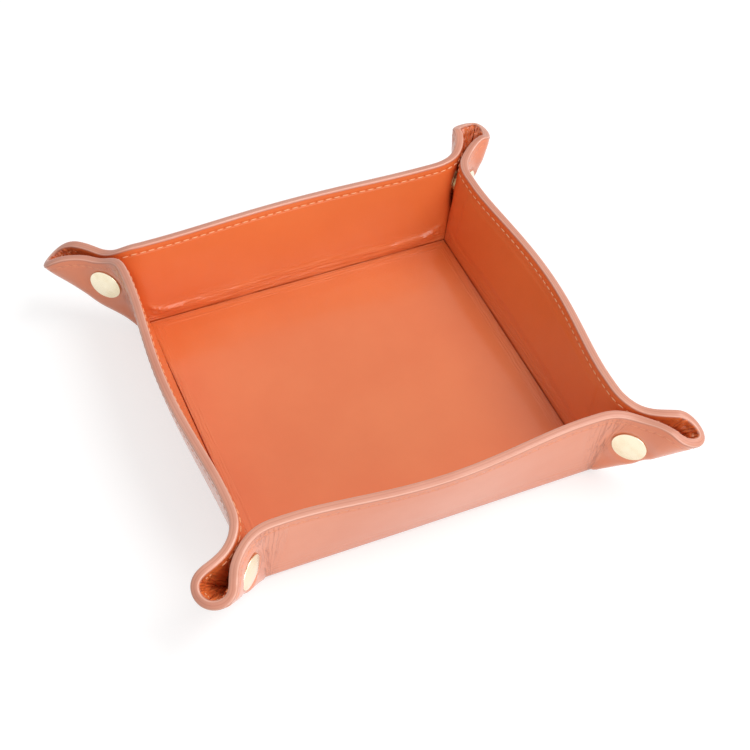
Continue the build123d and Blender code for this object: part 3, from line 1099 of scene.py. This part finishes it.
parts = (("wall", 0), ("ear", -1), ("ear", 1), ("tip", -1), ("tip", 1))
beads = [bead(side, part, end) for side in sides for part, end in parts]
print(len(beads), "beads")

# %% [markdown]
# ## Stitches
# One row of saddle stitches runs three millimetres under the edge, through both leathers:
# peach thread shows inside and a matching salmon one outside. A stitch is a short plump
# capsule pulled into the leather at both ends. It is modelled once and copied.

# %% One stitch
stitch_long = 2.4 * mm
stitch_wide = 0.46 * mm
stitch_sink = {"outer": 0.27 * mm, "lining": 0.17 * mm}
loop_sink = 0.22 * mm
bpy.ops.object.select_all(action="DESELECT")
bpy.ops.mesh.primitive_uv_sphere_add(segments=10, ring_count=6, radius=stitch_wide / 2)
first_stitch = bpy.context.object
edit_all()
bpy.ops.transform.rotate(value=math.radians(90), orient_axis="Y", center_override=(0, 0, 0))
bpy.ops.transform.resize(value=(stitch_long / stitch_wide, 1, 0.8), center_override=(0, 0, 0))
bpy.ops.object.mode_set(mode="OBJECT")
bpy.ops.object.shade_smooth()
print("one stitch has", len(first_stitch.data.polygons), "faces")

# %% Rows of stitches
def stitch_row(side, layer):
    """Middles, directions and outward normals of the stitches of one face of a side."""
    face = faces[side][0 if layer == "outer" else 2]
    gaps, rise = marks[side]["rim_gap"][:turn_rows:-1], face[:turn_rows:-1]
    line = np.zeros((face.shape[1], 3))
    for column, axis in np.ndindex(line.shape):
        line[column, axis] = np.interp(stitch_inset, gaps[:, column], rise[:, column, axis])
    along = marks[side]["run"][0]
    first = math.ceil(along[0] / stitch_pitch - 0.2)
    last = math.floor(along[-1] / stitch_pitch + 0.2)
    at = (np.arange(first, last) + 0.5) * stitch_pitch
    outward = nets[side]["normals"][-3] * (1 if layer == "outer" else -1)

    def read(table, where):
        return np.stack([np.interp(where, along, table[:, axis]) for axis in range(3)], -1)

    heading = unit(read(line, at + stitch_long / 2) - read(line, at - stitch_long / 2))
    normal = read(outward, at)
    return at, read(line, at), heading, square_to(heading, normal)


def stitches(side, layer, part, end):
    """Make one piece of all the stitches on a face of a wall, an ear or a tip, and count them."""
    at, middle, heading, normal = stitch_row(side, layer)
    along = marks[side]["run"][0]
    chosen = chosen_columns(side, part, end)
    inside = (at > along[chosen[0]]) & (at <= along[chosen[-1]])
    shape = np.array([vertex.co for vertex in first_stitch.data.vertices])
    copies = []
    lift = stitch_wide * 0.4 - stitch_sink[layer]
    if (layer, part) == ("lining", "tip"):
        lift -= loop_sink
    for place, ahead, out in zip(middle[inside], heading[inside], normal[inside]):
        axes = np.stack([ahead, np.cross(out, ahead), out])
        spots = turned(place + out * lift + shape @ axes, side)
        copy = bpy.data.objects.new("stitch", first_stitch.data.copy())
        put_points(copy.data, spots)
        bpy.context.scene.collection.objects.link(copy)
        copies.append(copy)
    bpy.ops.object.select_all(action="DESELECT")
    for copy in copies:
        copy.select_set(True)
    bpy.context.view_layer.objects.active = copies[0]
    bpy.ops.object.join()
    row = bpy.context.object
    row.name = row.data.name = f"{side}_{part_name(part, end)}_{layer}_stitches"
    row.data.materials.append(threads[layer])
    hang(row, side, part, end)
    return len(copies)


counts = [stitches(side, layer, part, end) for side in sides for layer in layers for part, end in parts]
bpy.data.objects.remove(first_stitch)
print("stitches:", sum(counts))

# %% [markdown]
# ## Floor, sky and lamps
# The tray stands on a white sheet in soft studio light. The floor adds a little of its own
# light for the camera only, so that it is as white as the page while the shadow stays.

# %% Floor
bpy.ops.object.select_all(action="DESELECT")
bpy.ops.mesh.primitive_plane_add(size=8)
floor = bpy.context.object
floor.name = floor.data.name = "studio_floor"


def seen_directly(tree):
    """1 for what the camera or a reflection sees, 0 for light that falls on things."""
    path = tree.nodes.new("ShaderNodeLightPath")
    return maths(tree, "MAXIMUM", path.outputs["Is Camera Ray"], path.outputs["Is Glossy Ray"])


floor_finish, tree, shader = new_material("studio_white")
fill(shader, Base_Color=(0.5, 0.5, 0.5, 1), Roughness=0.9, Specular_IOR_Level=0.0)
fill(shader, Emission_Color=(1, 1, 1, 1), Emission_Strength=times(tree, seen_directly(tree), 0.62))
floor.data.materials.append(floor_finish)
print("floor is", floor.dimensions[0], "m wide")

# %% Sky and lamps
world = bpy.data.worlds.new("studio")
world.use_nodes = True
bpy.context.scene.world = world
tree = world.node_tree
strength = maths(tree, "MULTIPLY_ADD", seen_directly(tree), 0.5, 0.5)
fill(tree.nodes["Background"], Color=(1, 1, 1, 1), Strength=strength)


def lamp(name, place, aim, size, power):
    light = bpy.data.lights.new(name, "AREA")
    light.shape = "DISK"
    light.size = size
    light.energy = power
    thing = bpy.data.objects.new(name, light)
    thing.location = place
    thing.rotation_euler = (Vector(aim) - Vector(place)).to_track_quat("-Z", "Y").to_euler()
    bpy.context.scene.collection.objects.link(thing)


lamp("window", (0.72, -0.28, 1.15), (0, 0, 0.02), 1.0, 11.0)
lamp("bounce", (0.0, -1.1, 0.3), (0, 0, 0.02), 0.9, 6.0)
bpy.context.scene.view_settings.view_transform = "Standard"
print("lamps:", [light.name for light in bpy.data.lights])
